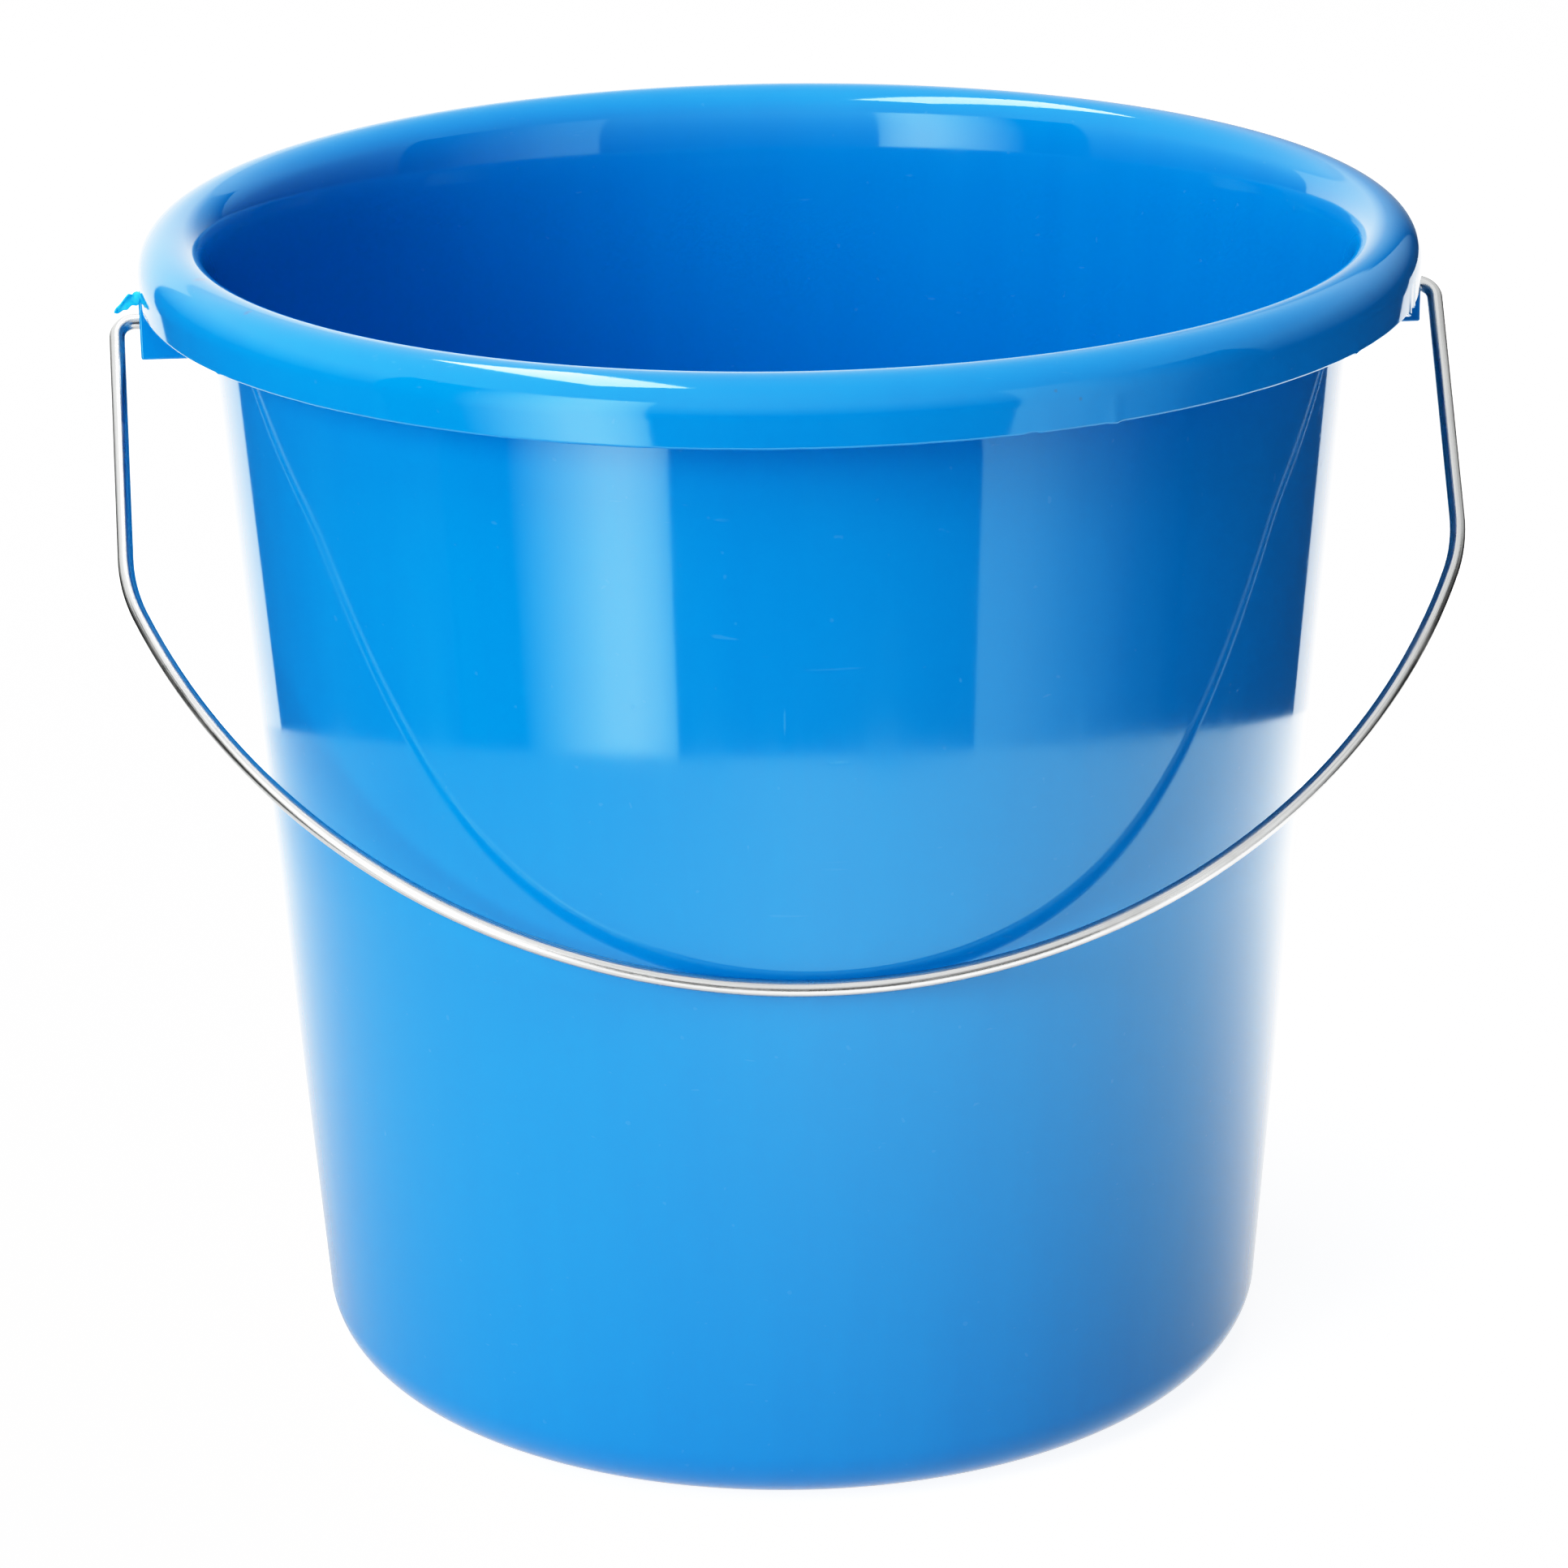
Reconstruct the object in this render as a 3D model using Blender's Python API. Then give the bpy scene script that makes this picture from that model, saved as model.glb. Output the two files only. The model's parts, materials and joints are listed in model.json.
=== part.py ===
"""A ten-litre feed bucket: one tapered plastic moulding with a rolled rim and two box ears,
and a bare steel wire bail that swings in holes in the ears.

Metres, +Z up. The origin is at the centre of the base, on the ground. The bail's axis runs
along X, and at rest the bail hangs forward, towards -Y, with its middle against the wall.
"""

import math

import bmesh
import bpy

MM = 0.001

# Bucket wall and base.
WALL = 2.0 * MM
BASE_CORNER_Z = 15.1 * MM  # height of the rounded bottom corner
BASE_CORNER_R = 17.0 * MM  # radial width of the rounded bottom corner
LOW_R = 108.5 * MM  # outer radius of the wall where the bottom corner ends
HIGH_R = 126.1 * MM  # outer radius of the wall level with the skirt's lower edge
FOOT_WIDTH = 10.0 * MM  # flat ring that the bucket stands on
BASE_RECESS = 3.0 * MM  # rise of the base inside the foot ring

# Rolled rim.
RIM_R = 141.0 * MM
RIM_TOP = 264.3 * MM
RIM_ROLL_R = 7.6 * MM  # radial half-axis of the roll
RIM_ROLL_Z = 8.1 * MM  # vertical half-axis of the roll
FLARE_ANGLE = 154  # degrees round the roll, from outside, where the wall's flare runs into it
FLARE_Z = 241.5 * MM  # where the flare leaves the wall's straight taper
FLARE_HANDLES = (3.5 * MM, 9.0 * MM)  # heights of the flare curve's upper and lower handles
SKIRT_EDGE_Z = 250.4 * MM
SKIRT_EDGE_R = 140.8 * MM
SKIRT_EDGE_ROUND = 0.7 * MM

# Ears under the rim.
EAR_FACE_X = 140.4 * MM
EAR_WIDTH = 32.0 * MM
EAR_BOTTOM_Z = 239.4 * MM
EAR_SHOULDER_Z = 252.0 * MM  # above this the outer plate leans back into the skirt
EAR_HOLE_D = 4.9 * MM

# Bail.
PIVOT_Z = 244.0 * MM
WIRE_D = 3.5 * MM
BAIL_REACH = 166.3 * MM  # from the pivot axis to the middle of the arc
BAIL_ARC_R = 154.3 * MM
BAIL_SHOULDER_R = 37.8 * MM
LEG_TOP_X = 146.2 * MM  # half the distance between the legs, level with the pivot
LEG_LEAN = 0.0263  # how far each leg leans inwards for each unit of its length
END_BEND_R = 3.9 * MM
HOOK_X = 133.6 * MM  # where the retaining tip stands inside the ear
HOOK_LENGTH = 8.0 * MM
WALL_GAP = 0.3 * MM  # between the resting bail and the wall

# Facets.
TURN_STEPS = 64
ARC_STEP = math.radians(15)
WIRE_BEVEL = 4

# Worked out from the dimensions above.
TAPER = (HIGH_R - LOW_R) / (SKIRT_EDGE_Z - BASE_CORNER_Z)
TAPER_ANGLE = math.atan(TAPER)
WALL_ACROSS = WALL / math.cos(TAPER_ANGLE)  # the wall's thickness, measured horizontally
ROLL_Z = RIM_TOP - RIM_ROLL_Z
CROWN_R = RIM_R - RIM_ROLL_R


def wall_radius(z):
    """Outer radius of the wall at a height above the bottom corner."""
    return LOW_R + TAPER * (z - BASE_CORNER_Z)


def ellipse(centre, half_axes, start, end, steps):
    """Points on an ellipse, from one angle to another, in degrees."""
    points = []
    for i in range(steps + 1):
        angle = math.radians(start + (end - start) * i / steps)
        x = centre[0] + half_axes[0] * math.cos(angle)
        points.append((x, centre[1] + half_axes[1] * math.sin(angle)))
    return points


def roll(inset, start, end, steps):
    """Points over the rim's roll, inset from its outer surface. 0 degrees is outside and 180 inside."""
    return ellipse((CROWN_R, ROLL_Z), (RIM_ROLL_R - inset, RIM_ROLL_Z - inset), start, end, steps)


def flare(inset, steps):
    """Points after the roll's inner end, down a curve that runs smoothly into the wall's taper."""
    top = roll(inset, FLARE_ANGLE, FLARE_ANGLE, 1)[0]
    angle = math.radians(FLARE_ANGLE)
    slope = (RIM_ROLL_R - inset) / (RIM_ROLL_Z - inset) * -math.tan(angle)
    upper = (top[0] - slope * FLARE_HANDLES[0], top[1] - FLARE_HANDLES[0])
    low = (wall_radius(FLARE_Z) - WALL_ACROSS * (1 - inset / WALL), FLARE_Z)
    lower = (low[0] + TAPER * FLARE_HANDLES[1], low[1] + FLARE_HANDLES[1])
    points = []
    for i in range(1, steps + 1):
        end = i / steps
        start = 1 - end
        shares = (start**3, 3 * start**2 * end, 3 * start * end**2, end**3)
        r = sum(share * point[0] for share, point in zip(shares, (top, upper, lower, low)))
        z = sum(share * point[1] for share, point in zip(shares, (top, upper, lower, low)))
        points.append((r, z))
    return points


def bucket_profile():
    """Half-section of the bucket: up the inside, over the rim, down the outside, in along the base."""
    flat_r = LOW_R - BASE_CORNER_R
    foot_r = flat_r - FOOT_WIDTH
    panel_r = foot_r - BASE_RECESS
    inside_corner = (BASE_CORNER_R - WALL_ACROSS, BASE_CORNER_Z - WALL)
    skirt_in = SKIRT_EDGE_R - WALL + SKIRT_EDGE_ROUND
    skirt_mid = SKIRT_EDGE_R - SKIRT_EDGE_ROUND

    profile = [(0.0, BASE_RECESS + WALL), (panel_r - WALL / 2, BASE_RECESS + WALL)]
    profile.append((foot_r - WALL / 2, WALL))
    profile += ellipse((flat_r, BASE_CORNER_Z), inside_corner, -90, 0, 6)
    profile += reversed(flare(0.0, 5))
    profile += roll(0.0, FLARE_ANGLE, 0, 13)
    profile.append((SKIRT_EDGE_R, SKIRT_EDGE_Z + SKIRT_EDGE_ROUND))
    profile += ellipse((skirt_mid, SKIRT_EDGE_Z + SKIRT_EDGE_ROUND), (SKIRT_EDGE_ROUND,) * 2, -45, -90, 1)
    profile.append((skirt_in, SKIRT_EDGE_Z))
    profile += roll(WALL, 0, FLARE_ANGLE, 7)
    profile += flare(WALL, 4)
    profile += ellipse((flat_r, BASE_CORNER_Z), (BASE_CORNER_R, BASE_CORNER_Z), 0, -90, 8)
    profile += [(foot_r, 0.0), (panel_r, BASE_RECESS), (0.0, BASE_RECESS)]
    return profile


def material(name, colour, roughness, metallic):
    made = bpy.data.materials.new(name)
    made.use_nodes = True
    shader = made.node_tree.nodes["Principled BSDF"]
    shader.inputs["Base Color"].default_value = (*colour, 1.0)
    shader.inputs["Roughness"].default_value = roughness
    shader.inputs["Metallic"].default_value = metallic
    return made


def add_object(name, data):
    made = bpy.data.objects.new(name, data)
    bpy.context.scene.collection.objects.link(made)
    return made


def mesh_object(name, shape):
    """An object from a bmesh, which it frees."""
    data = bpy.data.meshes.new(name)
    shape.to_mesh(data)
    shape.free()
    return add_object(name, data)


def helper(made):
    """Marks a cutter or another operand, which isn't a piece of the bucket."""
    made.hide_render = True
    made.display_type = "WIRE"
    return made


def add_boolean(target, operand, operation):
    modifier = target.modifiers.new(operand.name, "BOOLEAN")
    modifier.operation = operation
    modifier.solver = "EXACT"
    modifier.object = operand


def prism(name, outline, y_low, y_high):
    """A closed solid: an outline in X and Z, extruded along Y."""
    shape = bmesh.new()
    corners = [shape.verts.new((x, y_low, z)) for x, z in outline]
    face = shape.faces.new(corners)
    grown = bmesh.ops.extrude_face_region(shape, geom=[face])
    moved = [item for item in grown["geom"] if isinstance(item, bmesh.types.BMVert)]
    bmesh.ops.translate(shape, verts=moved, vec=(0.0, y_high - y_low, 0.0))
    bmesh.ops.recalc_face_normals(shape, faces=shape.faces)
    return mesh_object(name, shape)


def ear_outline(side):
    """Outline of an ear in X and Z: up its face, over the rim's mid-thickness, down the wall's."""
    y = (EAR_WIDTH - WALL) / 2
    outline = [(EAR_FACE_X, EAR_BOTTOM_Z), (EAR_FACE_X, EAR_SHOULDER_Z)]
    over = roll(WALL / 2, 0, FLARE_ANGLE, 10) + flare(WALL / 2, 3)
    low = wall_radius(EAR_BOTTOM_Z) - WALL_ACROSS / 2
    over.append((low, EAR_BOTTOM_Z))
    outline += [(math.sqrt(r * r - y * y), z) for r, z in over]
    return [(side * x, z) for x, z in outline]


def make_ear(side, name):
    """A box ear, open below: two side plates and a flat outer plate with the bail's hole."""
    ear = helper(prism(name, ear_outline(side), -EAR_WIDTH / 2, EAR_WIDTH / 2))

    inside = EAR_FACE_X - WALL
    behind = wall_radius(EAR_BOTTOM_Z) - 2 * WALL_ACROSS - BASE_CORNER_R
    below = EAR_BOTTOM_Z - WALL
    above = RIM_TOP + WALL
    box = [(side * inside, below), (side * inside, above), (side * behind, above), (side * behind, below)]
    half = EAR_WIDTH / 2 - WALL
    add_boolean(ear, helper(prism(name + "_cavity", box, -half, half)), "DIFFERENCE")

    shape = bmesh.new()
    radius = EAR_HOLE_D / 2
    bmesh.ops.create_cone(
        shape, cap_ends=True, segments=20, radius1=radius, radius2=radius, depth=4 * WALL
    )
    hole = helper(mesh_object(name + "_hole", shape))
    hole.rotation_euler = (0.0, math.pi / 2, 0.0)
    hole.location = (side * (EAR_FACE_X - WALL / 2), 0.0, PIVOT_Z)
    add_boolean(ear, hole, "DIFFERENCE")
    return ear


def make_bucket():
    shape = bmesh.new()
    corners = [shape.verts.new((r, 0.0, z)) for r, z in bucket_profile()]
    for first, second in zip(corners, corners[1:]):
        shape.edges.new((first, second))
    bucket = mesh_object("bucket", shape)

    turn = bucket.modifiers.new("turn", "SCREW")
    turn.steps = TURN_STEPS
    turn.render_steps = TURN_STEPS
    turn.use_merge_vertices = True
    turn.merge_threshold = 0.00005
    turn.use_smooth_shade = True

    for side, name in ((-1, "ear_left"), (1, "ear_right")):
        add_boolean(bucket, make_ear(side, name), "UNION")
    colour = (0.0, 0.21, 0.69)
    bucket.data.materials.append(material("blue_polypropylene", colour, roughness=0.22, metallic=0.0))
    return bucket


def arc(centre, radius, start, end):
    """Points on an arc, from one angle to another in radians, no more than ARC_STEP apart."""
    steps = max(1, math.ceil(abs(end - start) / ARC_STEP))
    points = []
    for i in range(steps + 1):
        angle = start + (end - start) * i / steps
        points.append((centre[0] + radius * math.cos(angle), centre[1] + radius * math.sin(angle)))
    return points


def bail_half():
    """The wire's centreline from the retaining tip to the middle of the arc, in the bail's own
    plane: X outwards, and Z up from the pivot's axis."""
    slant = math.atan(LEG_LEAN)
    outwards = (math.cos(slant), math.sin(-slant))
    down = (-math.sin(slant), -math.cos(slant))

    def from_leg(distance, along):
        """A point inside the leg's line, by a distance square to it."""
        x = LEG_TOP_X - distance * outwards[0] + along * down[0]
        return (x, -distance * outwards[1] + along * down[1])

    hook = (HOOK_X + END_BEND_R, END_BEND_R)
    path = [(HOOK_X, HOOK_LENGTH)]
    path += arc(hook, END_BEND_R, math.pi, 1.5 * math.pi)

    lift = from_leg(END_BEND_R, 0.0)[1]
    end_bend = from_leg(END_BEND_R, (END_BEND_R + lift) / math.cos(slant))
    path += arc(end_bend, END_BEND_R, math.pi / 2, -slant)

    arc_centre = (0.0, BAIL_ARC_R - BAIL_REACH)
    start = from_leg(BAIL_SHOULDER_R, 0.0)
    offset = (start[0] - arc_centre[0], start[1] - arc_centre[1])
    inner = BAIL_ARC_R - BAIL_SHOULDER_R
    half = offset[0] * down[0] + offset[1] * down[1]
    along = -half + math.sqrt(half * half - offset[0] ** 2 - offset[1] ** 2 + inner * inner)
    shoulder = from_leg(BAIL_SHOULDER_R, along)
    turned = math.atan2(shoulder[1] - arc_centre[1], shoulder[0] - arc_centre[0])
    path += arc(shoulder, BAIL_SHOULDER_R, -slant, turned)

    steps = 15
    for i in range(1, steps + 1):
        angle = turned + (-math.pi / 2 - turned) * i / steps
        path.append((BAIL_ARC_R * math.cos(angle), arc_centre[1] + BAIL_ARC_R * math.sin(angle)))
    return path


def hang_angle():
    """Angle between the resting bail and straight down, with the arc's middle against the wall."""
    stand_off = (WIRE_D / 2 + WALL_GAP) / math.cos(TAPER_ANGLE)
    reach = (wall_radius(PIVOT_Z) + stand_off) * math.cos(TAPER_ANGLE)
    return math.asin(reach / BAIL_REACH) - TAPER_ANGLE


def make_bail():
    half = bail_half()
    points = half + [(-x, z) for x, z in reversed(half[:-1])]
    data = bpy.data.curves.new("bail", "CURVE")
    data.dimensions = "3D"
    data.bevel_depth = WIRE_D / 2
    data.bevel_resolution = WIRE_BEVEL
    data.use_fill_caps = True
    spline = data.splines.new("POLY")
    spline.points.add(len(points) - 1)
    for point, (x, z) in zip(spline.points, points):
        point.co = (x, 0.0, z, 1.0)
    spline.use_smooth = True

    bail = add_object("bail", data)
    bail.location = (0.0, 0.0, PIVOT_Z)
    bail.rotation_euler = (-hang_angle(), 0.0, 0.0)
    data.materials.append(material("steel_wire", (0.55, 0.56, 0.57), roughness=0.25, metallic=1.0))
    return bail


def main():
    for old in list(bpy.data.objects):
        bpy.data.objects.remove(old, do_unlink=True)
    make_bucket()
    make_bail()


main()
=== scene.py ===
"""Looks for the feed bucket: the moulded bucket, its torn scrap of flash and the bent wire bail,
on a pale floor between studio panels. Metres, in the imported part's frame: +Z up, -Y front."""

import json
import math

import bmesh
import bpy
from mathutils import Matrix, Vector, noise


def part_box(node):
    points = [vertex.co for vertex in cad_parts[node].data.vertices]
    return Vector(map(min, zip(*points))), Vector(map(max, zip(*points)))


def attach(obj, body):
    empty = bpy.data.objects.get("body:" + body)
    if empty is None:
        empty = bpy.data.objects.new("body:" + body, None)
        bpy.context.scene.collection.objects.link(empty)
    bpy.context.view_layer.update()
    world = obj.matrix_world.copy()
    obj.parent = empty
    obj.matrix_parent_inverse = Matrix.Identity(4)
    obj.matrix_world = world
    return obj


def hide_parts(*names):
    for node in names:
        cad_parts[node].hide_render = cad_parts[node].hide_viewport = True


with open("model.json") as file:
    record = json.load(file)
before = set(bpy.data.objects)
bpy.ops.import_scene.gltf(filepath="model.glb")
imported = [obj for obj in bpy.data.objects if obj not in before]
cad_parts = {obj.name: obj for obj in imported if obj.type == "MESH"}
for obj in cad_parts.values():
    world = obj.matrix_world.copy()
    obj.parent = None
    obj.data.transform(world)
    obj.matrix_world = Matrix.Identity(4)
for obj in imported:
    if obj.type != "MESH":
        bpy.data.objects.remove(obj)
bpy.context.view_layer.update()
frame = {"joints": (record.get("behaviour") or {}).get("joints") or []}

MM = 0.001

# ---------------------------------------------------------------- sizes, from the frame

BUCKET_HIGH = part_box("bucket")[1]
RIM_R = BUCKET_HIGH.y
RIM_TOP = BUCKET_HIGH.z
PIVOT_Z = frame["joints"][0]["pos_m"][2]

# The part's own dimensions, repeated: the bucket's radii to its outer surface, and the bail's to the
# wire's centreline.
WALL = 2.0 * MM
BASE_CORNER_Z = 15.1 * MM
BASE_CORNER_R = 17.0 * MM
LOW_R = 108.5 * MM
HIGH_R = 126.1 * MM
FOOT_WIDTH = 10.0 * MM
BASE_RECESS = 3.0 * MM
RIM_ROLL_R = 7.6 * MM
RIM_ROLL_Z = 8.1 * MM
FLARE_ANGLE = 154
FLARE_Z = 241.5 * MM
FLARE_HANDLES = (3.5 * MM, 9.0 * MM)
SKIRT_EDGE_Z = 250.4 * MM
SKIRT_EDGE_R = 140.8 * MM
SKIRT_EDGE_ROUND = 0.7 * MM
EAR_FACE_X = 140.4 * MM
EAR_WIDTH = 32.0 * MM
EAR_BOTTOM_Z = 239.4 * MM
EAR_SHOULDER_Z = 252.0 * MM
EAR_HOLE_D = 4.9 * MM
EAR_ROUNDING = 0.5 * MM
WIRE_D = 3.5 * MM
BAIL_REACH = 166.3 * MM
BAIL_ARC_R = 154.3 * MM
BAIL_SHOULDER_R = 37.8 * MM
LEG_TOP_X = 146.2 * MM
LEG_LEAN = 0.0263
END_BEND_R = 3.9 * MM
HOOK_X = 133.6 * MM
HOOK_LENGTH = 8.0 * MM
WALL_GAP = 0.3 * MM

TAPER = (HIGH_R - LOW_R) / (SKIRT_EDGE_Z - BASE_CORNER_Z)
TAPER_ANGLE = math.atan(TAPER)
WALL_ACROSS = WALL / math.cos(TAPER_ANGLE)
ROLL_Z = RIM_TOP - RIM_ROLL_Z
CROWN_R = RIM_R - RIM_ROLL_R

BUCKET_SEGMENTS = 720
WIRE_SIDES = 28

# ---------------------------------------------------------------- camera

CAMERA_PLACE = Vector((-0.0792, -1.1543, 0.5434))
CAMERA_AIM = Vector((-0.0005, 0.0, 0.1307))
CAMERA_ROLL = math.radians(-0.736)
LENS = 123.37
SENSOR_WIDTH = 36.0


def add_camera():
    """The camera at the photograph's viewing angle."""
    data = bpy.data.cameras.new("camera")
    data.lens = LENS
    data.sensor_width = SENSOR_WIDTH
    camera = bpy.data.objects.new("camera", data)
    bpy.context.scene.collection.objects.link(camera)
    camera.location = CAMERA_PLACE
    turn = (CAMERA_AIM - CAMERA_PLACE).to_track_quat("-Z", "Y").to_matrix()
    camera.rotation_euler = (turn @ Matrix.Rotation(CAMERA_ROLL, 3, "Z")).to_euler()
    bpy.context.scene.camera = camera


# ---------------------------------------------------------------- mesh helpers

def add_mesh(name, shape):
    """An object from a bmesh, which it frees."""
    data = bpy.data.meshes.new(name)
    shape.to_mesh(data)
    shape.free()
    made = bpy.data.objects.new(name, data)
    bpy.context.scene.collection.objects.link(made)
    return made


def apply_modifiers(made):
    """Replaces an object's mesh with its evaluated one."""
    graph = bpy.context.evaluated_depsgraph_get()
    data = bpy.data.meshes.new_from_object(made.evaluated_get(graph))
    made.modifiers.clear()
    made.data = data


def ellipse(centre, half_axes, start, end, steps):
    """Points on an ellipse, from one angle to another in degrees."""
    points = []
    for i in range(steps + 1):
        angle = math.radians(start + (end - start) * i / steps)
        x = centre[0] + half_axes[0] * math.cos(angle)
        points.append((x, centre[1] + half_axes[1] * math.sin(angle)))
    return points


def arc(centre, radius, start, end, step):
    """Points on an arc, from one angle to another in radians, no more than step apart."""
    steps = max(1, math.ceil(abs(end - start) / step))
    points = []
    for i in range(steps + 1):
        angle = start + (end - start) * i / steps
        points.append((centre[0] + radius * math.cos(angle), centre[1] + radius * math.sin(angle)))
    return points


# ---------------------------------------------------------------- the bucket

def wall_radius(z):
    """The tapered wall's outer radius at a height."""
    return LOW_R + TAPER * (z - BASE_CORNER_Z)


def roll(inset, start, end, steps):
    """Points over the rim's roll, inset from its surface. 0 degrees is outside and 180 inside."""
    half_axes = (RIM_ROLL_R - inset, RIM_ROLL_Z - inset)
    return ellipse((CROWN_R, ROLL_Z), half_axes, start, end, steps)


def flare(inset, steps):
    """Points after the roll's inner end, down a curve that runs smoothly into the wall's taper."""
    top = roll(inset, FLARE_ANGLE, FLARE_ANGLE, 1)[0]
    angle = math.radians(FLARE_ANGLE)
    slope = (RIM_ROLL_R - inset) / (RIM_ROLL_Z - inset) * -math.tan(angle)
    upper = (top[0] - slope * FLARE_HANDLES[0], top[1] - FLARE_HANDLES[0])
    low = (wall_radius(FLARE_Z) - WALL_ACROSS * (1 - inset / WALL), FLARE_Z)
    lower = (low[0] + TAPER * FLARE_HANDLES[1], low[1] + FLARE_HANDLES[1])
    points = []
    for i in range(1, steps + 1):
        end = i / steps
        start = 1 - end
        shares = (start**3, 3 * start**2 * end, 3 * start * end**2, end**3)
        r = sum(share * point[0] for share, point in zip(shares, (top, upper, lower, low)))
        z = sum(share * point[1] for share, point in zip(shares, (top, upper, lower, low)))
        points.append((r, z))
    return points


def straight(first, last, steps):
    """Points between two, without the first and last."""
    points = []
    for i in range(1, steps):
        share = i / steps
        points.append(tuple(a + (b - a) * share for a, b in zip(first, last)))
    return points


def bucket_profile():
    """Closed half-section from the axis, up the inside, over the rim and down to the base. The last
    number of each call is how many steps its curve or line takes."""
    flat_r = LOW_R - BASE_CORNER_R
    foot_r = flat_r - FOOT_WIDTH
    panel_r = foot_r - BASE_RECESS
    inside_corner = (BASE_CORNER_R - WALL_ACROSS, BASE_CORNER_Z - WALL)
    edge = (SKIRT_EDGE_R - SKIRT_EDGE_ROUND, SKIRT_EDGE_Z + SKIRT_EDGE_ROUND)
    profile = [(0.0, BASE_RECESS + WALL)]
    profile += ellipse((panel_r - WALL, BASE_RECESS), (WALL, WALL), 90, 45, 4)
    profile += ellipse((foot_r - WALL / 2 + WALL, 2 * WALL), (WALL, WALL), 225, 270, 4)
    inner_low = ellipse((flat_r, BASE_CORNER_Z), inside_corner, -90, 0, 20)
    inner_top = list(reversed(flare(0.0, 28))) + roll(0.0, FLARE_ANGLE, 0, 52)
    profile += inner_low
    profile += straight(inner_low[-1], inner_top[0], 24)
    profile += inner_top
    profile += ellipse(edge, (SKIRT_EDGE_ROUND,) * 2, 0, -90, 6)
    profile.append((SKIRT_EDGE_R - WALL + SKIRT_EDGE_ROUND / 2, SKIRT_EDGE_Z))
    under = roll(WALL, 0, FLARE_ANGLE, 24) + flare(WALL, 12)
    outer_low = ellipse((flat_r, BASE_CORNER_Z), (BASE_CORNER_R, BASE_CORNER_Z), 0, -90, 24)
    profile += under
    profile += straight(under[-1], outer_low[0], 24)
    profile += outer_low
    profile += ellipse((foot_r, WALL / 4), (WALL / 4,) * 2, -90, -135, 3)
    profile += [(panel_r, BASE_RECESS), (0.0, BASE_RECESS)]
    return profile


def turned(profile, segments):
    """A bmesh turned about Z from a profile that starts and ends on the axis."""
    shape = bmesh.new()
    rings = []
    for r, z in profile:
        if r == 0.0:
            rings.append([shape.verts.new((0.0, 0.0, z))])
            continue
        ring = []
        for i in range(segments):
            angle = 2 * math.pi * i / segments
            ring.append(shape.verts.new((r * math.cos(angle), r * math.sin(angle), z)))
        rings.append(ring)
    for low, high in zip(rings, rings[1:]):
        for i in range(segments):
            j = (i + 1) % segments
            corners = [low[i % len(low)], low[j % len(low)]]
            corners += [high[j % len(high)], high[i % len(high)]]
            shape.faces.new(list(dict.fromkeys(corners)))
    bmesh.ops.recalc_face_normals(shape, faces=shape.faces)
    return shape


def prism(name, outline, y_low, y_high):
    """A solid from an outline in X and Z, between two Y values."""
    shape = bmesh.new()
    corners = [shape.verts.new((x, y_low, z)) for x, z in outline]
    face = shape.faces.new(corners)
    grown = bmesh.ops.extrude_face_region(shape, geom=[face])
    moved = [item for item in grown["geom"] if isinstance(item, bmesh.types.BMVert)]
    bmesh.ops.translate(shape, verts=moved, vec=(0.0, y_high - y_low, 0.0))
    bmesh.ops.recalc_face_normals(shape, faces=shape.faces)
    return add_mesh(name, shape)


def combine(target, operand, operation):
    """Joins the operand to the target, or cuts it out, and uses it up."""
    modifier = target.modifiers.new(operand.name, "BOOLEAN")
    modifier.operation = operation
    modifier.solver = "EXACT"
    modifier.object = operand
    apply_modifiers(target)
    bpy.data.objects.remove(operand)


def ear_outline(side):
    """The ear from the front: its outer plate, and the middle of the rim's and wall's thickness,
    where it is buried in them."""
    y = (EAR_WIDTH - WALL) / 2
    outline = [(EAR_FACE_X, EAR_BOTTOM_Z), (EAR_FACE_X, EAR_SHOULDER_Z)]
    over = roll(WALL / 2, 0, FLARE_ANGLE, 20) + flare(WALL / 2, 6)
    over.append((wall_radius(EAR_BOTTOM_Z) - WALL_ACROSS / 2, EAR_BOTTOM_Z))
    outline += [(math.sqrt(r * r - y * y), z) for r, z in over]
    return [(side * x, z) for x, z in outline]


def make_ear(side):
    """A box ear with rounded outer edges, open below, and the bail's hole in its outer plate."""
    ear = prism("ear", ear_outline(side), -EAR_WIDTH / 2, EAR_WIDTH / 2)
    rounding = ear.modifiers.new("rounding", "BEVEL")
    rounding.width = EAR_ROUNDING
    rounding.segments = 4
    rounding.limit_method = "ANGLE"
    rounding.angle_limit = math.radians(40)
    apply_modifiers(ear)

    inside = EAR_FACE_X - WALL
    behind = wall_radius(EAR_BOTTOM_Z) - 2 * WALL_ACROSS - BASE_CORNER_R
    below = EAR_BOTTOM_Z - WALL
    above = RIM_TOP + WALL
    box = [(inside, below), (inside, above), (behind, above), (behind, below)]
    box = [(side * x, z) for x, z in box]
    half = EAR_WIDTH / 2 - WALL
    combine(ear, prism("cavity", box, -half, half), "DIFFERENCE")

    shape = bmesh.new()
    radius = EAR_HOLE_D / 2
    bmesh.ops.create_cone(
        shape, cap_ends=True, segments=64, radius1=radius, radius2=radius, depth=4 * WALL
    )
    bmesh.ops.rotate(shape, verts=shape.verts, matrix=Matrix.Rotation(math.pi / 2, 3, "Y"))
    place = (side * (EAR_FACE_X - WALL / 2), 0.0, PIVOT_Z)
    bmesh.ops.translate(shape, verts=shape.verts, vec=place)
    combine(ear, add_mesh("hole", shape), "DIFFERENCE")
    return ear


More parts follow.
